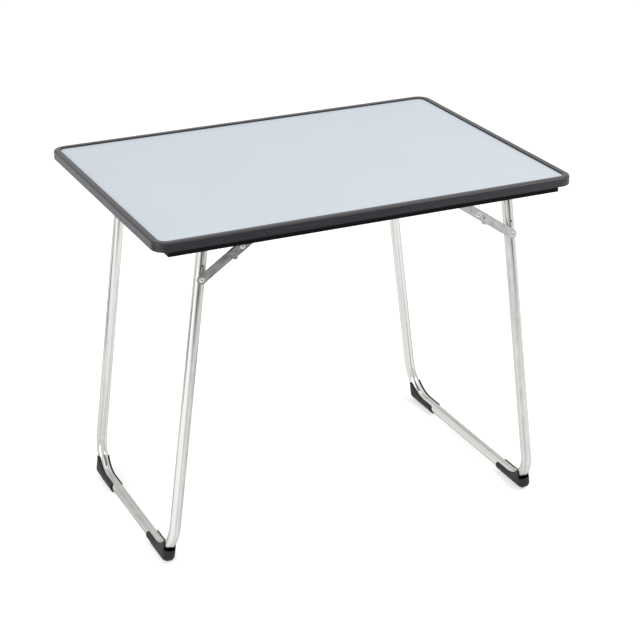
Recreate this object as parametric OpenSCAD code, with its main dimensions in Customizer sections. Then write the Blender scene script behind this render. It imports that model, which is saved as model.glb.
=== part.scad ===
// Folding camping table
// A laminated top in a moulded edge band stands on two bent-tube leg frames.
// Each frame swings inward under the top, and two knee-jointed stays lock it open.
// The frame on the left is the narrower one, so that it nests inside the other.
// Units are millimetres. The origin is on the floor under the middle of the top,
// X runs along the long side, Y towards the back and Z up.

/* [Table top] */
// Length of the top over the edge band
top_w = 800; // [700:5:1000]
// Depth of the top over the edge band
top_d = 580; // [520:5:800]
// Height of the edge band above the floor
top_h = 658; // [560:2:760]
// Thickness of the laminated panel
panel_t = 6; // [5:0.5:10]
// Outer corner radius of the edge band
corner_r = 27; // [24:1:40]

/* [Edge band] */
// Width of the band seen from above
band_w = 12.6; // [10:0.2:14]
// Height of the band's outer face
band_h = 16.5; // [14:0.5:24]
// Wall of the band
band_wall = 2; // [1.2:0.2:3]
// Rounding of the band's outer top edge
band_round = 4; // [3:0.5:6]
// Rounding of the band's inner top edge
band_inner_round = 1.5; // [0.5:0.5:2]
// Height of the band above the panel's face
band_lip = 3; // [2:0.5:4]
// Depth of the two fine lines moulded along the band's face
line_depth = 0.4; // [0.2:0.1:0.8]
// Width of those lines
line_w = 0.8; // [0.4:0.1:1.2]
// Length of the tongue that holds the band in the panel's edge
tongue_l = 5; // [3:0.5:5]
// Thickness of the tongue
tongue_t = 2; // [1:0.2:2.6]

/* [Under-frame] */
// Gap between the band and the long rails' outer faces
rail_gap = 1.4; // [0.4:0.2:3]
// Gap between the band and the short rails' outer faces
rail_end_gap = 13.4; // [10:0.2:20]
// Height of the rail's web
rail_h = 21; // [16:1:40]
// Width of the rail's flange on the panel
rail_flange = 10; // [9.5:0.5:11]
// Sheet thickness of the rails
rail_t = 1.5; // [1:0.1:2.5]
// Screws along each long rail
long_rail_screws = 4; // [2:1:8]
// Screws along each short rail
short_rail_screws = 3; // [2:1:6]
// Distance from the end of the top to the first screw
screw_margin = 70; // [50:5:120]

/* [Leg frames] */
// Outside diameter of the leg tube
tube_d = 20; // [16:0.5:24]
// Wall of the leg tube
tube_wall = 1.2; // [0.8:0.1:2]
// Radius of the tube's bends, at its centre line
bend_r = 70; // [60:1:80]
// Distance from the end of the top to the leg pivot
pivot_inset = 115.5; // [90:0.5:140]
// Distance from the panel's underside down to the leg pivot
pivot_drop = 17; // [16:0.5:24]
// How far the left feet stand out beyond their pivots
left_foot_reach = 82.5; // [60:0.5:95]
// How far the right feet stand out beyond their pivots
right_foot_reach = 73.5; // [60:0.5:95]
// Distance from the long edge to the narrow (left) frame's tube centre
left_frame_inset = 84; // [82:1:110]
// Distance from the long edge to the wide (right) frame's tube centre
right_frame_inset = 46; // [46:1:50]
// Length of tube beyond the pivot
tube_over = 8; // [7:0.5:10]
// Diameter of the leg pivot rivet
pivot_d = 6; // [4:0.5:8]
// Thickness of the plugs' caps
plug_t = 1; // [0.8:0.1:1.5]

/* [Leg brackets] */
// Sheet thickness of the brackets
bracket_t = 2; // [1.5:0.1:3]
// Radius of the bracket's ear around the pivot
ear_r = 10; // [7:0.5:12]
// Length of the leg bracket's base along X
leg_base_l = 58; // [50:1:70]
// Length of the stay bracket's base along X
stay_base_l = 38; // [36:1:50]

/* [Stays] */
// Width of the stay links
stay_w = 17; // [12:0.5:18]
// Sheet thickness of the stay links
stay_t = 2; // [1.5:0.1:3]
// Distance along the leg from its pivot to the stay's rivet
stay_grip = 80; // [60:1:90]
// Distance along X from the leg pivot to the stay bracket's pivot
anchor_reach = 112.5; // [108:0.5:120]
// Distance from the panel's underside down to the stay bracket's pivot
anchor_drop = 13; // [12.5:0.5:18]
// Gap between the two links, filled by the knee stud's shoulder
knee_gap = 2.5; // [2.4:0.1:5]
// Diameter of the stay rivets
rivet_d = 5; // [3:0.5:6]
// Diameter of the hollow down the middle of each stay rivet
hollow_d = 2.8; // [1.5:0.1:3]
// Diameter of the rivet heads
head_d = 10; // [8:0.5:12]
// Height of the domed rivet heads
head_h = 1.8; // [1:0.1:2.5]
// Length of the upper link beyond the knee
lock_over = 26; // [24:1:32]
// Length of the lock tab along the link
tab_l = 6; // [5:0.5:12]
// Distance from the knee to the gauge hole
gauge_l = 14; // [12:0.5:18]
// Diameter of the gauge hole
gauge_d = 3; // [2:0.5:4]
// Distance along the leg from the stay's rivet up to the locating hole
locate_l = 25; // [20:1:30]
// Diameter of the locating hole
locate_d = 4; // [2:0.5:5]

/* [Shoes] */
// Outside width of the shoe
shoe_w = 25; // [24.5:0.5:30]
// Length of the shoe from its inner end to the front of its toe
shoe_l = 97; // [90:1:110]
// How far the middle of the toe's round lies in from the upright's line
toe_back = 20; // [16:1:24]
// Rounding under the front of the toe, seen from the side
toe_r = 15; // [8:1:16]
// Thickness of the sole under the tube
sole_t = 5; // [4:0.2:8]
// Width of the flat pad under the shoe
pad_w = 10; // [6:0.5:14]
// How far in from the upright's line the pad begins
pad_back = 32; // [28:1:40]
// How far the lips rise past the tube's centre line
lip_over = 7; // [4:0.5:8]
// Height of the toe's rim above the floor rail's centre
rim_h = 12; // [10:0.5:14]
// Height of the cheeks beside the bend, above the floor rail's centre
cheek_h = 27; // [20:1:32]
// How far in from the upright's line the cheeks end
cheek_back = 17; // [14:1:24]
// Rounding under the shoe's inner end
heel_r = 8; // [3:0.5:10]
// Rounding above the shoe's inner end
heel_top_r = 3; // [1:0.5:5]

/* [Screws] */
// Diameter of the wood screws
screw_d = 3.5; // [2.5:0.5:4]
// Diameter of the screw heads
screw_head_d = 7; // [6:0.5:8]
// Height of the screw heads
screw_head_h = 2; // [1.5:0.1:2]
// Length of the screws in the panel
screw_grip = 4; // [3:0.5:4.5]
// How far the shoe screws' heads are sunk into the sole
screw_sink = 0.3; // [0.2:0.1:0.5]

/* [Clearances] */
// Radial clearance of a rivet, stud or screw in its hole
fit = 0.05; // [0.02:0.01:0.1]
// Gap between a turning piece and the face beside it
side_gap = 0.4; // [0.2:0.1:0.8]
// Axial play under the rivet heads
play = 0.1; // [0.05:0.05:0.3]
// Gap round the tongue, the shoes and the plugs
seat_gap = 0.15; // [0.1:0.05:0.3]

/* [Hidden] */
$fn = 96;

// Sides and ends, as signs for mirroring
LEFT = -1;
RIGHT = 1;
FRONT = -1;
REAR = 1;

// A cut runs past the face it opens by this much
past = 1;

// Heights
panel_top = top_h - band_lip;
panel_under = panel_top - panel_t;
band_z = top_h - band_h;
pivot_z = panel_under - pivot_drop;
anchor_z = panel_under - anchor_drop;
rail_z = sole_t + tube_d / 2;

// Insets of the rails' outer faces from the edges of the top
side_inset = band_w + rail_gap;
end_inset = band_w + rail_end_gap;

// Places along X, for the right-hand side
pivot_x = top_w / 2 - pivot_inset;
anchor_x = pivot_x - anchor_reach;

// A leg leans outward by its splay, and folds inward until it is level
leg_drop = pivot_z - rail_z;
function reach(side) = side == LEFT ? left_foot_reach : right_foot_reach;
function foot_x(side) = pivot_x + reach(side);
function splay(side) = atan(reach(side) / leg_drop);
function leg_l(side) = norm([reach(side), leg_drop]);

// The stay runs straight from its rivet on the leg to its bracket when open.
// Folded, the leg rivet comes level with the pivot, and the knee doubles back.
// Half the sum of the two spans is the lower link, so both links lie flat then.
fold_slack = 0.3;
folded_span = norm([pivot_x - stay_grip - anchor_x, pivot_z - anchor_z]);
function stay_x(side) = pivot_x + stay_grip * sin(splay(side));
function stay_z(side) = pivot_z - stay_grip * cos(splay(side));
function stay_run(side) = stay_x(side) - anchor_x;
function stay_rise(side) = anchor_z - stay_z(side);
function open_span(side) = norm([stay_run(side), stay_rise(side)]);
function stay_slope(side) = atan(stay_rise(side) / stay_run(side));
function lower_l(side) = (open_span(side) + folded_span - fold_slack) / 2;
function upper_l(side) = open_span(side) - lower_l(side);
function knee_x(side) = stay_x(side) - lower_l(side) * cos(stay_slope(side));
function knee_z(side) = stay_z(side) + lower_l(side) * sin(stay_slope(side));

// Layers outward along Y from the leg tube's centre
lower_y = tube_d / 2 + side_gap;
upper_y = lower_y + stay_t + knee_gap;
stay_ear_y = upper_y + stay_t + side_gap;
ear_y = tube_d / 2 + side_gap;

function frame_y(side) = top_d / 2 - (side == LEFT ? left_frame_inset : right_frame_inset);

// Everything below is drawn for the right rear corner and mirrored to the others
module at_corner(side, end) {
    mirror([side == LEFT ? 1 : 0, 0, 0])
        mirror([0, end == FRONT ? 1 : 0, 0])
            children();
}

module at_side(side) {
    mirror([side == LEFT ? 1 : 0, 0, 0])
        children();
}

// Leg frame's own axes: origin midway between its pivots, -Z down along the leg
module on_leg(side) {
    translate([pivot_x, 0, pivot_z])
        rotate([0, -splay(side), 0])
            children();
}

// Stay's own axes: origin at the given point, +X down along the stay to the leg
module on_stay(side, x, z) {
    translate([x, frame_y(side), z])
        rotate([0, stay_slope(side), 0])
            children();
}

// A disc or pin along Y, from y0 to y1
module y_pin(d, y0, y1) {
    translate([0, y0, 0])
        rotate([-90, 0, 0])
            cylinder(d = d, h = y1 - y0);
}

// Flat plate in the XZ plane, from y0 outward, drawn from a 2D outline
module y_plate(y0, t) {
    translate([0, y0 + t, 0])
        rotate([90, 0, 0])
            linear_extrude(t)
                children();
}

// Domed rivet head on the plane y, rising outward
module dome_head(y, outward) {
    dome_r = (head_d * head_d / 4 + head_h * head_h) / (2 * head_h);
    translate([0, y, 0])
        rotate([outward > 0 ? -90 : 90, 0, 0])
            intersection() {
                translate([0, 0, head_h - dome_r])
                    sphere(r = dome_r);
                cylinder(d = head_d, h = head_h);
            }
}

// Hollow of a tubular rivet, its mouth in the head on the plane y
module rivet_hollow(y, depth) {
    y_pin(hollow_d, y + head_h - depth, y + head_h + past);
}

// Rectangle with round corners, as a slab standing on z = 0
module round_slab(w, d, r, t) {
    translate([-w / 2 + r, -d / 2, 0])
        cube([w - 2 * r, d, t]);
    translate([-w / 2, -d / 2 + r, 0])
        cube([w, d - 2 * r, t]);
    for (x = [-1, 1], y = [-1, 1])
        translate([x * (w / 2 - r), y * (d / 2 - r), 0])
            cylinder(r = r, h = t);
}

// Places of the rail screws, on the middle of the flanges
flange_mid = (rail_flange + rail_t) / 2;
function spread(length, count, i) = -length / 2 + screw_margin + i * (length - 2 * screw_margin) / (count - 1);
long_screw_spots = [
    for (end = [FRONT, REAR], i = [0 : long_rail_screws - 1])
        [spread(top_w, long_rail_screws, i), end * (top_d / 2 - side_inset - flange_mid)]
];
short_screw_spots = [
    for (side = [LEFT, RIGHT], i = [0 : short_rail_screws - 1])
        [side * (top_w / 2 - end_inset - flange_mid), spread(top_d, short_rail_screws, i)]
];
rail_screw_spots = concat(long_screw_spots, short_screw_spots);

// Places of the bracket screws, each bracket having two
leg_screw_x = leg_base_l / 2 - screw_head_d;
stay_screw_x = stay_base_l / 2 - screw_head_d;
stay_screw_y = screw_head_d / 2;
bracket_screw_spots = [
    for (side = [LEFT, RIGHT], end = [FRONT, REAR], s = [-1, 1])
        each [
            [side * (pivot_x + s * leg_screw_x), end * frame_y(side)],
            [side * (anchor_x + s * stay_screw_x), end * (frame_y(side) + stay_screw_y)]
        ]
];

module screw_holes(spots) {
    for (p = spots)
        translate([p.x, p.y, panel_under - past])
            cylinder(d = screw_d + 2 * fit, h = screw_grip + past + fit);
}

// Laminated board, grooved round its edge for the band's tongue
module tabletop_panel() {
    w = top_w - 2 * band_w - 2 * seat_gap;
    d = top_d - 2 * band_w - 2 * seat_gap;
    r = corner_r - band_w - seat_gap;
    groove = tongue_l + seat_gap;
    groove_t = tongue_t + 2 * seat_gap;
    color("#D6DEE5")
        difference() {
            translate([0, 0, panel_under])
                round_slab(w, d, r, panel_t);
            translate([0, 0, panel_under + (panel_t - groove_t) / 2])
                difference() {
                    round_slab(w + past, d + past, r + past / 2, groove_t);
                    translate([0, 0, -past])
                        round_slab(w - 2 * groove, d - 2 * groove, r - groove, groove_t + 2 * past);
                }
            screw_holes(rail_screw_spots);
            screw_holes(bracket_screw_spots);
        }
}

// Section of the edge band: a hollow cap, open below, with a tongue at mid panel.
// The outer face is at x = 0 and the section lies towards -x.
module band_section() {
    inner_r = band_round - band_wall;
    inner_leg_z = panel_under + seat_gap;
    tongue_z = panel_under + (panel_t - tongue_t) / 2;
    difference() {
        union() {
            translate([-band_w, band_z])
                square([band_w, band_h - band_round]);
            translate([-band_w + band_inner_round, band_z])
                square([band_w - band_inner_round - band_round, band_h]);
            translate([-band_round, top_h - band_round])
                circle(r = band_round);
            translate([-band_w + band_inner_round, top_h - band_inner_round])
                circle(r = band_inner_round);
        }
        for (i = [1, 2])
            translate([-line_depth, band_z + i * (band_h - band_round) / 3])
                square([line_depth + past, line_w]);
        translate([-band_w + band_wall, band_z - past])
            square([band_w - 2 * band_wall, band_h - band_round + past]);
        translate([-band_w + band_wall, band_z - past])
            square([band_w - band_wall - band_round, band_h - band_wall + past]);
        translate([-band_round, top_h - band_round])
            circle(r = inner_r);
        translate([-band_w - past, band_z - past])
            square([band_wall + 2 * past, inner_leg_z - band_z + past]);
    }
    translate([-band_w - tongue_l, tongue_z])
        square([tongue_l + band_wall, tongue_t]);
}

module band_side(length) {
    rotate([90, 0, 0])
        linear_extrude(length, center = true)
            band_section();
}

// Moulded edge band, one closed ring round the panel
module edge_band() {
    straight_w = top_w - 2 * corner_r;
    straight_d = top_d - 2 * corner_r;
    color("#46464C") {
        for (a = [0, 180])
            rotate([0, 0, a])
                translate([top_w / 2, 0, 0])
                    band_side(straight_d);
        for (a = [90, 270])
            rotate([0, 0, a])
                translate([top_d / 2, 0, 0])
                    band_side(straight_w);
        for (a = [0 : 90 : 270])
            translate([
                (a == 0 || a == 270 ? 1 : -1) * straight_w / 2,
                (a < 180 ? 1 : -1) * straight_d / 2,
                0
            ])
                rotate([0, 0, a])
                    rotate_extrude(angle = 90)
                        translate([corner_r, 0])
                            band_section();
    }
}

// Plan of a mitred rail along X, its outer edge on y = 0 and its width towards +y
module mitred(length, width) {
    polygon([
        [-length / 2, 0],
        [length / 2, 0],
        [length / 2 - width, width],
        [-length / 2 + width, width]
    ]);
}

// Angle rail: an upright web and a flange under the panel
module angle_rail(length, face, spots) {
    mitre_gap = 2 * seat_gap;
    difference() {
        translate([0, -face, panel_under]) {
            translate([0, 0, -rail_h])
                linear_extrude(rail_h)
                    mitred(length - mitre_gap, rail_t);
            translate([0, 0, -rail_t])
                linear_extrude(rail_t)
                    mitred(length - mitre_gap, rail_flange);
        }
        for (p = spots)
            translate([p.x, p.y, panel_under - rail_t - past])
                cylinder(d = screw_d + 2 * fit, h = rail_t + 2 * past);
    }
}

long_rail_spots = [for (p = long_screw_spots) if (p.y < 0) p];
short_rail_spots = [for (p = short_screw_spots) if (p.x > 0) [p.y, -p.x]];

module long_rail(turn) {
    color("#1A1A1C")
        rotate([0, 0, turn])
            angle_rail(top_w - 2 * end_inset, top_d / 2 - side_inset, long_rail_spots);
}

module short_rail(turn) {
    color("#1A1A1C")
        rotate([0, 0, turn])
            angle_rail(top_d - 2 * side_inset, top_w / 2 - end_inset, short_rail_spots);
}

// Pan-head screw driven up into the panel, its head's seat on z = 0
module wood_screw(under) {
    translate([0, 0, -screw_head_h])
        cylinder(d = screw_head_d, h = screw_head_h);
    translate([0, 0, -past / 2])
        cylinder(d = screw_d, h = under + screw_grip + past / 2);
}

module rail_screws() {
    color("#2A2A2C")
        for (p = rail_screw_spots)
            translate([p.x, p.y, panel_under - rail_t])
                wood_screw(rail_t);
}

module bracket_screws() {
    color("#B4B4B2")
        for (p = bracket_screw_spots)
            translate([p.x, p.y, panel_under - bracket_t])
                wood_screw(bracket_t);
}

// Ear outline in the XZ plane: a round end at the pivot and straight flanks above
module ear_outline(r, rise) {
    difference() {
        union() {
            circle(r = r);
            translate([-r, 0])
                square([2 * r, rise]);
        }
        children();
    }
}

// Pressed U bracket that straddles the head of a leg
module leg_bracket(side, end) {
    outer = ear_y + bracket_t;
    color("#A9ABAC")
        at_corner(side, end)
            translate([pivot_x, frame_y(side), 0]) {
                difference() {
                    translate([-leg_base_l / 2, -outer, panel_under - bracket_t])
                        cube([leg_base_l, 2 * outer, bracket_t]);
                    for (s = [-1, 1])
                        translate([s * leg_screw_x, 0, panel_under - bracket_t - past])
                            cylinder(d = screw_d + 2 * fit, h = bracket_t + 2 * past);
                }
                for (y = [ear_y, -outer])
                    translate([0, 0, pivot_z])
                        y_plate(y, bracket_t)
                            ear_outline(ear_r, pivot_drop - bracket_t / 2)
                                circle(d = pivot_d + 2 * fit);
            }
}

// Pressed L bracket beside the stay's upper end
module stay_bracket(side, end) {
    outer = stay_ear_y + bracket_t;
    base_in = screw_head_d / 2;
    color("#A9ABAC")
        at_corner(side, end)
            translate([anchor_x, frame_y(side), 0]) {
                difference() {
                    translate([-stay_base_l / 2, stay_screw_y - base_in - past, panel_under - bracket_t])
                        cube([stay_base_l, outer - stay_screw_y + base_in + past, bracket_t]);
                    for (s = [-1, 1])
                        translate([s * stay_screw_x, stay_screw_y, panel_under - bracket_t - past])
                            cylinder(d = screw_d + 2 * fit, h = bracket_t + 2 * past);
                }
                translate([0, 0, anchor_z])
                    y_plate(stay_ear_y, bracket_t)
                        ear_outline(stay_w / 2, anchor_drop - bracket_t / 2)
                            circle(d = rivet_d + 2 * fit);
            }
}

module leg_pivot_rivets() {
    outer = ear_y + bracket_t;
    color("#C4C6C8")
        for (side = [LEFT, RIGHT], end = [FRONT, REAR])
            at_corner(side, end)
                translate([pivot_x, frame_y(side), pivot_z]) {
                    y_pin(pivot_d, -outer, outer);
                    dome_head(outer, 1);
                    dome_head(-outer, -1);
                }
}

module stay_bracket_rivets() {
    outer = stay_ear_y + bracket_t;
    inner = upper_y - play;
    color("#C4C6C8")
        for (side = [LEFT, RIGHT], end = [FRONT, REAR])
            at_corner(side, end)
                translate([anchor_x, frame_y(side), anchor_z]) {
                    y_pin(rivet_d, inner, outer);
                    y_pin(head_d, inner - bracket_t * 0.7, inner);
                    dome_head(outer, 1);
                }
}

// Centre line of the leg frame as a solid of the given radius, ends at z = top
module frame_path(side, r, top) {
    half_w = frame_y(side);
    straight = leg_l(side) - bend_r;
    for (end = [FRONT, REAR]) {
        translate([0, end * half_w, -straight])
            cylinder(r = r, h = straight + top);
        mirror([0, end == FRONT ? 1 : 0, 0])
            translate([0, half_w - bend_r, -straight])
                rotate([0, 90, 0])
                    rotate_extrude(angle = 90)
                        translate([bend_r, 0])
                            circle(r = r);
    }
    translate([0, -(half_w - bend_r), -leg_l(side)])
        y_pin(2 * r, 0, 2 * (half_w - bend_r));
}

// One tube bent to a U, cross-drilled for the pivots and the stays
module leg_frame(side) {
    color("#CFD2D4")
        at_side(side)
            difference() {
                on_leg(side)
                    difference() {
                        frame_path(side, tube_d / 2, tube_over);
                        frame_path(side, tube_d / 2 - tube_wall, tube_over + past);
                        for (end = [FRONT, REAR])
                            mirror([0, end == FRONT ? 1 : 0, 0])
                                translate([0, frame_y(side), 0]) {
                                    y_pin(pivot_d + 2 * fit, -tube_d, tube_d);
                                    translate([0, 0, -stay_grip])
                                        y_pin(rivet_d + 2 * fit, -tube_d, tube_d);
                                    translate([0, 0, locate_l - stay_grip])
                                        y_pin(locate_d, 0, tube_d);
                                }
                    }
                for (end = [FRONT, REAR])
                    translate([foot_x(side), end * shoe_screw_y(side), 0])
                        cylinder(d = screw_d + 2 * fit, h = rail_z);
            }
}

// Push-in plugs in the two open ends of the tube
module leg_plugs(side) {
    spigot = tube_over - pivot_d / 2 - 2 * side_gap;
    bore_d = tube_d - 2 * tube_wall;
    color("#222224")
        at_side(side)
            on_leg(side)
                for (end = [FRONT, REAR])
                    translate([0, end * frame_y(side), tube_over]) {
                        cylinder(d = tube_d, h = plug_t);
                        translate([0, 0, -spigot])
                            cylinder(d = bore_d - 2 * seat_gap, h = spigot + plug_t / 2);
                    }
}

// Rivets that hold the stays to the legs
module stay_rivets(side) {
    outer = lower_y + stay_t + play;
    color("#C4C6C8")
        at_side(side)
            on_leg(side)
                for (end = [FRONT, REAR])
                    mirror([0, end == FRONT ? 1 : 0, 0])
                        translate([0, frame_y(side), -stay_grip])
                            difference() {
                                union() {
                                    y_pin(rivet_d, -tube_d / 2, outer);
                                    dome_head(outer, 1);
                                    dome_head(-tube_d / 2, -1);
                                }
                                rivet_hollow(outer, 2 * head_h);
                            }
}

// Lower link, from the leg rivet up to the knee
module lower_link(side, end) {
    color("#AEB1B3")
        at_corner(side, end)
            on_stay(side, knee_x(side), knee_z(side))
                y_plate(lower_y, stay_t)
                    difference() {
                        union() {
                            circle(d = stay_w);
                            translate([0, -stay_w / 2])
                                square([lower_l(side), stay_w]);
                            translate([lower_l(side), 0])
                                circle(d = stay_w);
                        }
                        circle(d = rivet_d + 2 * fit);
                        translate([lower_l(side), 0])
                            circle(d = rivet_d + 2 * fit);
                    }
}

// Upper link, from the bracket down past the knee, with the lock tab folded in
// under the lower link's edge so that the knee can't rise past straight
module upper_link(side, end) {
    gauge_x = upper_l(side) + gauge_l;
    tab_x = upper_l(side) + lock_over - tab_l - bracket_t;
    tab_gap = side_gap;
    tab_in = knee_gap + stay_t;
    color("#B7BABC")
        at_corner(side, end)
            on_stay(side, anchor_x, anchor_z) {
                y_plate(upper_y, stay_t)
                    difference() {
                        union() {
                            circle(d = stay_w);
                            translate([0, -stay_w / 2])
                                square([upper_l(side) + lock_over, stay_w]);
                            translate([tab_x, -stay_w / 2 - tab_gap - stay_t])
                                square([tab_l, tab_gap + stay_t + past]);
                        }
                        circle(d = rivet_d + 2 * fit);
                        translate([upper_l(side), 0])
                            circle(d = rivet_d + 2 * fit);
                        translate([gauge_x, 0])
                            circle(d = gauge_d);
                    }
                translate([tab_x, upper_y - tab_in, -stay_w / 2 - tab_gap - stay_t])
                    cube([tab_l, tab_in + stay_t / 2, stay_t]);
            }
}

// Knee rivet, parted at its shoulder: the stud stays with the lower link
module knee_stud(side, end) {
    color("#C4C6C8")
        at_corner(side, end)
            translate([knee_x(side), frame_y(side), knee_z(side)]) {
                y_pin(rivet_d, lower_y, lower_y + stay_t);
                y_pin(head_d, lower_y + stay_t, upper_y - play);
            }
}

// The head and shank that stay with the upper link
module knee_rivet(side, end) {
    color("#C4C6C8")
        at_corner(side, end)
            translate([knee_x(side), frame_y(side), knee_z(side)]) {
                difference() {
                    union() {
                        y_pin(rivet_d, upper_y, upper_y + stay_t);
                        dome_head(upper_y + stay_t, 1);
                    }
                    rivet_hollow(upper_y + stay_t, stay_t + head_h - play);
                }
            }
}

// Quarter of a square left outside a round of radius r, to take a corner off
module corner_waste(r) {
    difference() {
        translate([-past, -past])
            square(r + past);
        translate([r, r])
            circle(r = r);
    }
}

// Side view of the shoe in the plane of the leg frame, x outward along the floor
// rail from the upright's line and y up from the rail's centre. The lips follow the
// tube's centre line from the heel round the bend, and the toe has a low rim.
module shoe_side() {
    bottom = -rail_z - sole_t;
    toe_x = -toe_back + shoe_w / 2;
    heel_x = toe_x - shoe_l;
    difference() {
        union() {
            translate([heel_x, bottom])
                square([shoe_l, rim_h - bottom]);
            translate([-bend_r, 0])
                square([bend_r - cheek_back, cheek_h]);
        }
        translate([-bend_r, bend_r])
            circle(r = bend_r - lip_over);
        translate([heel_x - past, lip_over])
            square([-bend_r - heel_x + past, rim_h]);
        translate([toe_x, -shoe_w / 2])
            mirror([1, 0])
                corner_waste(toe_r);
        translate([heel_x, -rail_z])
            corner_waste(heel_r);
        translate([heel_x, lip_over])
            mirror([0, 1])
                corner_waste(heel_top_r);
    }
}

// Straight flanks and a half-round end, its round's middle at front
module toe_plan(w, front) {
    translate([-w / 2, front - shoe_l])
        square([w, shoe_l]);
    translate([0, front])
        circle(d = w);
}

// The room that a tube of diameter w takes from the heel round the bend, with the
// toe's half-round pocket in front of the bend. It forms the shoe and its channel.
module cradle(w) {
    y_pin(w, -toe_back - shoe_l, -toe_back);
    translate([0, -toe_back, 0])
        sphere(d = w);
    translate([0, -bend_r, bend_r])
        rotate([0, 90, 0])
            rotate_extrude(angle = 90)
                translate([bend_r, 0])
                    circle(d = w);
    difference() {
        linear_extrude(bend_r)
            intersection() {
                toe_plan(w, -toe_back);
                translate([-w, -bend_r])
                    square([2 * w, bend_r]);
            }
        translate([0, -bend_r, bend_r])
            rotate([0, 90, 0])
                cylinder(r = bend_r, h = 2 * w, center = true);
    }
}

// Moulded shoe that clips round the bend of the tube, its sole cut level
module shoe(side, end) {
    color("#2E2E30")
        at_corner(side, end)
            difference() {
                intersection() {
                    translate([foot_x(side), frame_y(side), rail_z])
                        rotate([0, -splay(side), 0])
                            difference() {
                                intersection() {
                                    union() {
                                        cradle(shoe_w);
                                        translate([0, 0, -rail_z - sole_t])
                                            linear_extrude(rail_z + sole_t)
                                                toe_plan(pad_w, -pad_back);
                                    }
                                    rotate([90, 0, 90])
                                        linear_extrude(shoe_w + past, center = true)
                                            shoe_side();
                                }
                                cradle(tube_d + 2 * seat_gap);
                            }
                    translate([foot_x(side) - shoe_w, frame_y(side) - 2 * shoe_l, 0])
                        cube([2 * shoe_w, 3 * shoe_l, 2 * bend_r]);
                }
                translate([foot_x(side), shoe_screw_y(side), 0]) {
                    cylinder(d = screw_d + 2 * fit, h = rail_z);
                    translate([0, 0, -past])
                        cylinder(d = screw_head_d + 2 * seat_gap, h = past + screw_sink + screw_head_h);
                }
            }
}

// Screws up through the soles into the floor rail, clear of the bends
function shoe_screw_y(side) = frame_y(side) - bend_r - screw_head_d;

module shoe_screws(side) {
    color("#B4B4B2")
        at_side(side)
            for (end = [FRONT, REAR])
                translate([foot_x(side), end * shoe_screw_y(side), screw_sink + screw_head_h])
                    wood_screw(sole_t);
}

tabletop_panel();
edge_band();
long_rail(0);  // front_rail
long_rail(180);  // rear_rail
short_rail(90);  // right_rail
short_rail(270);  // left_rail
rail_screws();
leg_bracket(LEFT, FRONT);  // left_front_leg_bracket
leg_bracket(LEFT, REAR);  // left_rear_leg_bracket
leg_bracket(RIGHT, FRONT);  // right_front_leg_bracket
leg_bracket(RIGHT, REAR);  // right_rear_leg_bracket
stay_bracket(LEFT, FRONT);  // left_front_stay_bracket
stay_bracket(LEFT, REAR);  // left_rear_stay_bracket
stay_bracket(RIGHT, FRONT);  // right_front_stay_bracket
stay_bracket(RIGHT, REAR);  // right_rear_stay_bracket
bracket_screws();
leg_pivot_rivets();
stay_bracket_rivets();
leg_frame(LEFT);  // left_leg_frame
leg_frame(RIGHT);  // right_leg_frame
leg_plugs(LEFT);  // left_leg_plugs
leg_plugs(RIGHT);  // right_leg_plugs
shoe(LEFT, FRONT);  // left_front_shoe
shoe(LEFT, REAR);  // left_rear_shoe
shoe(RIGHT, FRONT);  // right_front_shoe
shoe(RIGHT, REAR);  // right_rear_shoe
shoe_screws(LEFT);  // left_shoe_screws
shoe_screws(RIGHT);  // right_shoe_screws
stay_rivets(LEFT);  // left_stay_rivets
stay_rivets(RIGHT);  // right_stay_rivets
lower_link(LEFT, FRONT);  // left_front_lower_link
lower_link(LEFT, REAR);  // left_rear_lower_link
lower_link(RIGHT, FRONT);  // right_front_lower_link
lower_link(RIGHT, REAR);  // right_rear_lower_link
upper_link(LEFT, FRONT);  // left_front_upper_link
upper_link(LEFT, REAR);  // left_rear_upper_link
upper_link(RIGHT, FRONT);  // right_front_upper_link
upper_link(RIGHT, REAR);  // right_rear_upper_link
knee_stud(LEFT, FRONT);  // left_front_knee_stud
knee_stud(LEFT, REAR);  // left_rear_knee_stud
knee_stud(RIGHT, FRONT);  // right_front_knee_stud
knee_stud(RIGHT, REAR);  // right_rear_knee_stud
knee_rivet(LEFT, FRONT);  // left_front_knee_rivet
knee_rivet(LEFT, REAR);  // left_rear_knee_rivet
knee_rivet(RIGHT, FRONT);  // right_front_knee_rivet
knee_rivet(RIGHT, REAR);  // right_rear_knee_rivet
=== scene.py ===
# %% [markdown]
# # A folding camping table, dressed for its picture
# The table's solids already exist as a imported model: a laminated top in a moulded band,
# black rails under it, two bent-tube leg frames, jointed stays and moulded shoes. This
# lesson gives them finishes, softens their edges, and sets up the light and the camera.
# Everything is in metres, with the origin on the floor under the middle of the top, X
# along the long side, Y towards the back and Z up.

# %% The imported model
import math

import bpy
from mathutils import Matrix, Vector

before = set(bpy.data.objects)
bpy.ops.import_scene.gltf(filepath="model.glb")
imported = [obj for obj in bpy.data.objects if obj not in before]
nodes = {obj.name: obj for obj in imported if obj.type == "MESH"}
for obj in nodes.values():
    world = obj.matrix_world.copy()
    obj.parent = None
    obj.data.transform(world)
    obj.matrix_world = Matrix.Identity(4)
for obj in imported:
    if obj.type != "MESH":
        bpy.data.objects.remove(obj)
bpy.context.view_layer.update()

# %% [markdown]
# ## The camera
# The picture was taken with a long lens from above the front left corner. Four corners
# of the top, the legs and the floor rails fix the place and the lens closely, so the
# camera is given as its three directions and its position, and no aiming is needed.

# %% Camera
sensor_width, focal_length = 36, 101.51
sight_right = Vector((0.9070871, -0.42088348, -0.00707705))
sight_up = Vector((0.17223126, 0.3557468, 0.91857531))
sight_ahead = Vector((0.38409553, 0.83444671, -0.39518263))
camera_place = Vector((-1.304864, -2.892293, 1.703868))

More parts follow.
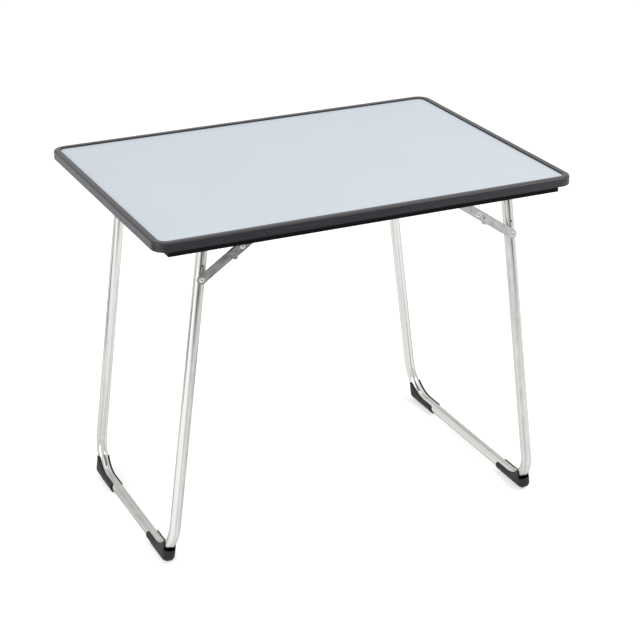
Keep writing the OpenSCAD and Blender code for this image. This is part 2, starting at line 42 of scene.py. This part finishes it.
lens_data = bpy.data.cameras.new("picture_camera")
lens_data.sensor_width = sensor_width
lens_data.lens = focal_length
camera = bpy.data.objects.new("picture_camera", lens_data)
turn = Matrix((sight_right, sight_up, -sight_ahead)).transposed().to_4x4()
camera.matrix_world = Matrix.Translation(camera_place) @ turn
bpy.context.scene.collection.objects.link(camera)
bpy.context.scene.camera = camera
table_middle = Vector((0, 0, 0.4))
print("camera", round((camera_place - table_middle).length, 2), "m from the table")

# %% [markdown]
# ## Writing shaders as sums
# A finish is a chain of nodes. Wiring them one by one hides the idea, so one class wraps
# a node's output and lets Python's operators add the Math nodes. Another holds the
# material that is being made, and its method add makes any other node. Math nodes are for
# single values only: colours go through Mix nodes and directions through Vector Math.

# %% Wires and finishes
class Wire:
    """One value that comes out of a shader node. Sums and products of wires add nodes."""

    def __init__(self, finish, socket):
        self.finish, self.socket = finish, socket

    def calc(self, operation, *others, flip=False):
        parts = [self, *others]
        if flip:
            parts.reverse()
        return self.finish.add("Math", {"operation": operation}, dict(enumerate(parts)))

    def __add__(self, other): return self.calc("ADD", other)
    def __radd__(self, other): return self.calc("ADD", other)
    def __sub__(self, other): return self.calc("SUBTRACT", other)
    def __rsub__(self, other): return self.calc("SUBTRACT", other, flip=True)
    def __mul__(self, other): return self.calc("MULTIPLY", other)
    def __rmul__(self, other): return self.calc("MULTIPLY", other)
    def __pow__(self, other): return self.calc("POWER", other)
    def __abs__(self): return self.calc("ABSOLUTE")

    def at_least(self, low): return self.calc("MAXIMUM", low)
    def at_most(self, high): return self.calc("MINIMUM", high)

    def ramp(self, start, stop):
        """0 below start, 1 above stop and smooth between."""
        stops = {"Value": self, "From Min": start, "From Max": stop}
        return self.finish.add("MapRange", {"interpolation_type": "SMOOTHSTEP"}, stops)


class Finish:
    """A material, or the world's background, while it is being made."""

    def __init__(self, name, kind=bpy.data.materials):
        self.material = kind.new(name)
        self.material.use_nodes = True
        self.tree = self.material.node_tree
        self.tree.nodes.clear()

    def add(self, kind, settings=None, sockets=None, out=0):
        node = self.tree.nodes.new("ShaderNode" + kind)
        for key, value in (settings or {}).items():
            setattr(node, key, value)
        for key, value in (sockets or {}).items():
            if isinstance(value, Wire):
                self.tree.links.new(value.socket, node.inputs[key])
            else:
                slot = node.inputs[key]
                opaque = slot.type == "RGBA" and len(value) == 3
                slot.default_value = (*value, 1) if opaque else value
        return Wire(self, node.outputs[out]) if node.outputs else None

    def place(self):
        """Position on the piece, which goes with it when it moves."""
        return self.add("TexCoord", out="Object")

    def apart(self, vector):
        cut = self.add("SeparateXYZ", sockets={0: vector}).socket.node
        return [Wire(self, s) for s in cut.outputs]

    def together(self, x, y, z):
        return self.add("CombineXYZ", sockets={0: x, 1: y, 2: z})

    def noise(self, vector, scale, detail=3, rough=0.5):
        sockets = {"Vector": vector, "Scale": scale, "Detail": detail, "Roughness": rough}
        return self.add("TexNoise", {"noise_dimensions": "3D"}, sockets)

    def mix(self, share, a, b):
        """Colour a where share is 0 and colour b where it is 1."""
        return self.add("Mix", {"data_type": "RGBA"}, {0: share, 6: a, 7: b}, out=2)

    def bump(self, height, distance, strength):
        sockets = {"Height": height, "Distance": distance, "Strength": strength}
        return self.add("Bump", sockets=sockets)

    def edge_wear_and_highlight(self, width):
        """1 on sharp outer edges, falling to 0 within about that width: wear on some
        finishes, a painted highlight on others.
        """
        round_normal = self.add("Bevel", {"samples": 4}, {"Radius": width})
        true_normal = self.add("NewGeometry", out="Normal")
        directions = {0: round_normal, 1: true_normal}
        agree = self.add("VectorMath", {"operation": "DOT_PRODUCT"}, directions, out="Value")
        return (1 - agree).ramp(0.01, 0.16)

    def surface(self, **sockets):
        """The one surface shader. Underscores stand for the spaces in its socket names."""
        named = {}
        for key, value in sockets.items():
            named[key.replace("_", " ").title().replace("Ior", "IOR")] = value
        shader = self.add("BsdfPrincipled", sockets=named)
        self.add("OutputMaterial", sockets={"Surface": shader})
        return self.material

    def either(self, share, a, b, output="OutputMaterial"):
        """Ends in shader a where share is 0 and shader b where it is 1."""
        blend = self.add("MixShader", sockets={0: share, 1: a, 2: b})
        self.add(output, sockets={"Surface": blend})
        return self.material


def linear(level):
    """One screen level, 0 to 255, as the linear value that nodes take."""
    share = level / 255
    return share / 12.92 if level <= 10 else ((share + 0.055) / 1.055) ** 2.4


def plain(r, g, b):
    """A colour picked on a screen, as nodes take it."""
    return linear(r), linear(g), linear(b)


print("the helpers are ready")

# %% [markdown]
# ## The laminated top
# The board is faced with a pale blue-grey laminate. It could be one flat colour, but a real
# sheet has a faint cloudiness and a fine pebble that breaks up the light. Both are noise:
# a large one in the colour, and a small one in the roughness and the bump. The underside
# has the plain backing sheet, told apart by which way the surface faces.

# %% Laminate
def laminate():
    f = Finish("table_laminate")
    spot = f.place()
    cloud = f.noise(spot, 5.5, 4, 0.6)
    pebble = f.noise(spot, 900, 2)
    facing = f.apart(f.add("NewGeometry", out="Normal"))[2]
    under = (0 - facing).ramp(0.2, 0.8)
    face = f.mix(cloud.ramp(0.25, 0.75), plain(203, 211, 219), plain(206, 214, 222))
    back = f.mix(cloud.ramp(0.3, 0.7), plain(176, 172, 164), plain(190, 187, 180))
    return f.surface(
        base_color=f.mix(under, face, back),
        roughness=0.34 + 0.1 * cloud + 0.08 * pebble,
        normal=f.bump(pebble, 0.00006, 0.35),
    )


table_laminate = laminate()
print("made", table_laminate.name)

# %% [markdown]
# ## The moulded band
# The band is one moulded ring of dark grey plastic. Fine lines run along it, left by the
# mould. To draw them along every side and round the corners, the finish needs a measure
# that grows across the band and stays level along it: the distance from an inner
# rectangle does that. Noise that is fine across and long along then gives the lines. Two
# moulded lines run round the outer face and hold painted shade, so they are placed by their
# height, and the lip next to the board is darker with painted shade, so it is placed by the
# distance across. The lighter edges of the band are a painted highlight.

# %% Band plastic
top_half = (0.4, 0.29)
band_corner = 0.027
band_half = (top_half[0] - band_corner, top_half[1] - band_corner)
line_heights = (0.64607, 0.65023)
line_edge = (0.0003, 0.0006)
inner_lip_edge = (0.0146, 0.0158)


def line_band(z, middle):
    """1 inside a moulded line of the band, by its height."""
    return 1 - abs(z - middle).ramp(*line_edge)


def band_plastic():
    f = Finish("band_plastic")
    x, y, z = f.apart(f.place())
    out_x = (abs(x) - band_half[0]).at_least(0)
    out_y = (abs(y) - band_half[1]).at_least(0)
    across = (out_x * out_x + out_y * out_y) ** 0.5
    along = x - y
    lines = f.noise(f.together(across * 160, z * 160, along * 1.4), 5, 3)
    grain = f.noise(f.place(), 1300, 2)
    # The band's lighter edges are a painted highlight.
    edge = f.edge_wear_and_highlight(0.0012)
    tone = f.mix(lines.ramp(0.3, 0.7), plain(24, 24, 31), plain(33, 33, 41))
    # Painted shade: the moulded lines and the lip next to the board are darkened.
    groove_shade = line_band(z, line_heights[0]).at_least(line_band(z, line_heights[1]))
    lip_shade = 1 - across.ramp(*inner_lip_edge)
    tone = f.mix((groove_shade * 0.7).at_least(lip_shade * 0.8), tone, plain(16, 16, 18))
    return f.surface(
        base_color=f.mix(edge * 0.45, tone, plain(108, 109, 120)),
        roughness=0.22 + 0.14 * lines + 0.06 * grain,
        normal=f.bump(lines * 0.7 + grain * 0.3, 0.00012, 0.4),
    )


grey_band = band_plastic()
print("made", grey_band.name)

# %% [markdown]
# ## Black rails
# The under-frame is folded steel with a black powder coat. The coat is matt, with the fine
# orange-peel that such paint dries to, and it wears a little at the folded edges.

# %% Powder coat
def powder_coat():
    f = Finish("powder_coat")
    peel = f.noise(f.place(), 420, 3)
    edge = f.edge_wear_and_highlight(0.0008)
    return f.surface(
        base_color=f.mix(edge * 0.25, plain(7, 7, 8), plain(58, 57, 56)),
        roughness=0.55 + 0.2 * peel,
        specular_ior_level=0.12,
        normal=f.bump(peel, 0.0002, 0.5),
    )


black_coat = powder_coat()
print("made", black_coat.name)

# %% [markdown]
# ## Bright tube
# The legs are plated steel tube. Drawing the tube leaves faint scratches along it, which
# must follow the bends. As on the band, the finish works out its own measures: how far
# across the tube's plane a point lies and how far along its centre line. Both come from
# the distance past the middle of the bend, so they run on smoothly from leg to floor rail.

# %% Bright tube
pivot_x, pivot_z = 0.2845, 0.632
floor_rail_z = 0.015
leg_drop = pivot_z - floor_rail_z
bend_radius = 0.070
left_reach, left_half_width = 0.0825, 0.206
right_reach, right_half_width = 0.0735, 0.244


def bright_tube(name, side, reach, half_width):
    f = Finish(name)
    splay = math.atan2(reach, leg_drop)
    leg_length = math.hypot(reach, leg_drop)
    x, y, z = f.apart(f.place())
    dx = x * side - pivot_x
    dz = z - pivot_z
    flat = dx * math.cos(splay) + dz * math.sin(splay)
    down = dz * math.cos(splay) - dx * math.sin(splay)
    u = abs(y) - (half_width - bend_radius)
    v = down + (leg_length - bend_radius)
    past_u, past_v = u.at_least(0), (0 - v).at_least(0)
    across = (past_u * past_u + past_v * past_v) ** 0.5
    turn_so_far = past_v.calc("ARCTAN2", past_u)
    along = bend_radius * turn_so_far + (0 - u).at_least(0) - v.at_least(0)
    scratch = f.noise(f.together(flat * 420, across * 420, along * 3), 4, 4, 0.6)
    streak = f.noise(f.together(flat * 150, across * 150, along * 0.8), 1, 3, 0.5)
    bloom = f.noise(f.together(flat * 25, across * 25, along * 10), 3, 4)
    drawn = f.mix(streak.ramp(0.36, 0.62), plain(170, 169, 166), plain(214, 213, 210))
    tone = f.mix(bloom.ramp(0.35, 0.7) * 0.4, drawn, plain(212, 211, 208))
    return f.surface(
        base_color=tone,
        metallic=1.0,
        specular_tint=(0.6, 0.6, 0.59),
        roughness=0.08 + 0.1 * scratch + 0.08 * bloom,
        normal=f.bump(scratch, 0.00006, 0.35),
    )


left_tube = bright_tube("bright_tube_left", -1, left_reach, left_half_width)
right_tube = bright_tube("bright_tube_right", 1, right_reach, right_half_width)
print("made", left_tube.name, "and", right_tube.name)

# %% [markdown]
# ## Pressed steel
# Links and brackets are stamped from zinc-plated sheet. Zinc dulls in patches, so the
# roughness wanders more than on the tube, and the stamped edges catch the light. The links
# also show the fine lines of the rolled strip. Those run along each stay, so the noise is
# stretched along the slope of the open stays. All links are the same part with the same
# plating. In the picture the left ones look darker, most likely from what they mirror, and
# the lamps here don't give that by themselves, so the left ones get a darker mix.

# %% Zinc
stay_slope = math.radians(34)


def sheet_grain(f, spot):
    """Fine lines along the stays, from the rolling of the strip they are cut from."""
    x, y, z = f.apart(spot)
    along = z * math.sin(stay_slope) - abs(x) * math.cos(stay_slope)
    across = z * math.cos(stay_slope) + abs(x) * math.sin(stay_slope)
    return f.noise(f.together(along * 30, across * 620, y * 90), 1, 3)


def zinc(name, pale, dull, rough, grained=False):
    f = Finish(name)
    spot = f.place()
    patch = f.noise(spot, 90, 4, 0.6)
    scratch = sheet_grain(f, spot) if grained else f.noise(spot, 1500, 3)
    edge = f.edge_wear_and_highlight(0.0006)
    share = scratch.ramp(0.3, 0.7) * 0.5 + patch.ramp(0.35, 0.7) * 0.5
    tone = f.mix(share, pale, dull)
    return f.surface(
        base_color=f.mix(edge * 0.6, tone, plain(232, 232, 230)),
        metallic=1.0,
        roughness=rough + 0.16 * patch + 0.08 * scratch,
        normal=f.bump(patch * 0.5 + scratch * 0.5, 0.0001, 0.3),
    )


link_zinc = zinc("link_zinc", plain(206, 206, 205), plain(160, 160, 159), 0.22, True)
# The darker mix for the left links is a painted reflection.
link_zinc_painted_reflection = zinc("link_zinc_painted_reflection", plain(176, 176, 174), plain(100, 100, 99), 0.2, True)
bracket_zinc = zinc("bracket_zinc", plain(178, 179, 178), plain(150, 151, 150), 0.3)
rivet_zinc = zinc("rivet_zinc", plain(214, 214, 213), plain(178, 178, 178), 0.18)
print("made", link_zinc.name, link_zinc_painted_reflection.name, bracket_zinc.name, rivet_zinc.name)

# %% [markdown]
# ## Moulded shoes
# The shoes and plugs are black plastic with the sparkle of a spark-eroded mould. Carrying
# and dragging scuff them grey low down and at the edges.

# %% Black plastic
scuff_height = 0.012


def black_plastic():
    f = Finish("black_plastic")
    spot = f.place()
    grain = f.noise(spot, 700, 3, 0.6)
    smear = f.noise(spot, 60, 4, 0.6)
    edge = f.edge_wear_and_highlight(0.001)
    height = f.apart(spot)[2]
    low = 1 - height.ramp(0.0, scuff_height)
    scuff = (edge * 0.55 + low * 0.35 * smear.ramp(0.5, 0.75)).at_most(1)
    return f.surface(
        base_color=f.mix(scuff, plain(25, 25, 26), plain(84, 84, 84)),
        roughness=0.5 + 0.16 * grain + 0.1 * smear,
        specular_ior_level=0.35,
        normal=f.bump(grain, 0.00015, 0.5),
    )


shoe_plastic = black_plastic()
print("made", shoe_plastic.name)

# %% [markdown]
# ## Giving each piece its finish
# A table from name endings to finishes keeps this in one place. The solids have knife-sharp
# edges, and nothing made of plastic or sheet has those, so each piece but the board and the
# leg frames, whose width is 0, also gets a narrow bevel. Weld joins the loose facets first.
# The flats of a plate come as long thin triangles between its holes, which shade as streaks,
# so Decimate joins those that lie in one plane. Weighted Normal then keeps the flats flat.

# %% Finishes on the pieces
finish_by_ending = [
    ("tabletop_panel", table_laminate, 0.0),
    ("edge_band", grey_band, 0.0004),
    ("rail_screws", black_coat, 0.0002),
    ("_rail", black_coat, 0.0003),
    ("left_leg_frame", left_tube, 0.0),
    ("right_leg_frame", right_tube, 0.0),
    ("_plugs", shoe_plastic, 0.0003),
    ("_shoe", shoe_plastic, 0.0008),
    ("_screws", bracket_zinc, 0.0003),
    ("_rivets", rivet_zinc, 0.0002),
    ("_rivet", rivet_zinc, 0.0002),
    ("_stud", rivet_zinc, 0.0002),
    ("_link", link_zinc, 0.0003),
    ("_bracket", bracket_zinc, 0.0003),
]


weld_distance = 0.000002
flat_within = math.radians(0.3)
sharp_beyond = math.radians(35)


def soften(piece, width):
    weld = piece.modifiers.new("join facets", "WELD")
    weld.merge_threshold = weld_distance
    if width:
        plain_flats = piece.modifiers.new("plain flats", "DECIMATE")
        plain_flats.decimate_type = "DISSOLVE"
        plain_flats.angle_limit = flat_within
        bevel = piece.modifiers.new("soft edges", "BEVEL")
        bevel.width = width
        bevel.segments = 2
        bevel.limit_method = "ANGLE"
        bevel.angle_limit = sharp_beyond
        bevel.use_clamp_overlap = True
    flats = piece.modifiers.new("flat flats", "WEIGHTED_NORMAL")
    flats.keep_sharp = True


for name, piece in sorted(nodes.items()):
    ending, finish, width = next(row for row in finish_by_ending if name.endswith(row[0]))
    # The left links take the darker mix, a painted reflection.
    if finish is link_zinc and name.startswith("left"):
        finish = link_zinc_painted_reflection
    for slot in piece.material_slots:
        slot.material = finish
    soften(piece, width)
print("finished", len(nodes), "pieces")

# %% [markdown]
# ## Floor, light and background
# The table stands on a plain white floor that meets a white background. The floor is an
# ordinary pale surface, so that it takes the table's shadow. A little extra glow lifts it
# to the white behind it. More light would do that too, but it would also wash out the
# table, so only the camera, mirrored rays and rays through glass see the glow and the
# white background. The rest of the light is a soft grey from all round.

# %% Floor and background
def background_share(f):
    """1 for what the camera sees directly, in metal or through glass."""
    seen = f.add("LightPath", out="Is Camera Ray")
    mirrored = f.add("LightPath", out="Is Glossy Ray")
    through = f.add("LightPath", out="Is Transmission Ray")
    return seen.at_least(mirrored).at_least(through)


def floor_paint():
    f = Finish("floor_paint")
    lit = f.add("BsdfDiffuse", sockets={"Color": (0.86, 0.86, 0.86)})
    glow = f.add("Emission", sockets={"Color": (1, 1, 1), "Strength": 0.52})
    lifted = f.add("AddShader", sockets={0: lit, 1: glow})
    return f.either(background_share(f), lit, lifted)


def lay_sheet(name, low, high, height, finish):
    """A flat sheet between two corners, at one height."""
    (x0, y0), (x1, y1) = low, high
    corners = [(x0, y0, height), (x1, y0, height), (x1, y1, height), (x0, y1, height)]
    mesh = bpy.data.meshes.new(name)
    mesh.from_pydata(corners, [], [(0, 1, 2, 3)])
    mesh.materials.append(finish)
    sheet = bpy.data.objects.new(name, mesh)
    bpy.context.scene.collection.objects.link(sheet)
    return sheet


floor_reach = 30
floor = lay_sheet("floor", (-floor_reach,) * 2, (floor_reach,) * 2, 0, floor_paint())


def studio_walls():
    f = Finish("studio_walls", bpy.data.worlds)
    walls = f.add("Background", sockets={"Color": (1, 1, 1), "Strength": 0.55})
    white = f.add("Background", sockets={"Color": (1, 1, 1), "Strength": 1.0})
    return f.either(background_share(f), walls, white, output="OutputWorld")


bpy.context.scene.world = studio_walls()
print("floor", 2 * floor_reach, "m wide, background", bpy.context.scene.world.name)

# %% [markdown]
# ## Dark cards
# Bright tube has no colour of its own to speak of. In a white studio it would vanish, and
# its dark lines are mirrored things that stand outside the picture. A photographer sets
# dark cards there. These two lie on the floor in front of the table and to its left, with
# soft edges, and only mirrored rays see them, so they throw no shadow and dim no lamp.
# Their places and tones were fitted to the one picture, seen from the one camera.

# %% Dark cards
card_height = 0.002


def card_paint(name, shade):
    """Black where shade, a sum made from x and y, is 1, and clear where it is 0."""
    f = Finish(name)
    x, y = f.apart(f.place())[:2]
    black = f.add("BsdfDiffuse", sockets={"Color": (0.01, 0.01, 0.01)})
    clear = f.add("BsdfTransparent")
    return f.either(shade(x, y), clear, black)


def front_shade(x, y):
    """Darker away from the table, soft at both ends and half as dark in the middle."""
    past_edge = 0.12 * x - 0.97 - y
    gap = 1 - 0.5 * (1 - 2 * abs(x + 0.05)).at_least(0)
    return past_edge.ramp(0, 0.9) * x.ramp(-1.9, -1.45) * (1 - x.ramp(0.85, 1.25)) * gap


def left_shade(x, y):
    """Three quarters dark, with soft edges except the far one."""
    return (0 - x).ramp(1.2, 1.5) * y.ramp(-0.05, 0.25) * (1 - y.ramp(0.9, 1.1)) * 0.75


def lay_card(name, low, high, shade):
    card = lay_sheet(name, low, high, card_height, card_paint(name, shade))
    card.visible_camera = card.visible_diffuse = False
    card.visible_shadow = card.visible_transmission = False
    return card


cards = [
    lay_card("front_card", (-1.9, -3.0), (1.3, -0.8), front_shade),
    lay_card("left_card", (-3.4, -0.1), (-1.2, 1.1), left_shade),
]
print("cards out of the picture:", [card.name for card in cards])

# %% [markdown]
# ## Lamps
# Large soft lamps give soft shadows. One hangs over the table, one stands at the right
# front and fills the long side of the band, and one stands at the left, where the band's
# end face is brightest.

# %% Lamps
def soft_lamp(name, place, target, size, watts):
    data = bpy.data.lights.new(name, "AREA")
    data.shape = "RECTANGLE"
    data.size, data.size_y = size
    data.energy = watts
    lamp = bpy.data.objects.new(name, data)
    lamp.location = place
    aim = Vector(target) - Vector(place)
    lamp.rotation_euler = aim.to_track_quat("-Z", "Y").to_euler()
    bpy.context.scene.collection.objects.link(lamp)
    return lamp


lamps = [
    soft_lamp("overhead", (0, 0, 3.2), (0, 0, 0.6), (3.0, 3.0), 20),
    soft_lamp("right_front", (1.6, -1.3, 2.3), (0.2, 0, 0.6), (1.2, 1.2), 21),
    soft_lamp("left_side", (-3.2, -0.6, 1.6), (0, 0, 0.4), (1.8, 1.8), 32),
]
print("lamps:", [lamp.name for lamp in lamps])

# %% [markdown]
# ## View settings
# The Standard view shows colours as they are written.

# %% View settings
bpy.context.scene.view_settings.view_transform = "Standard"
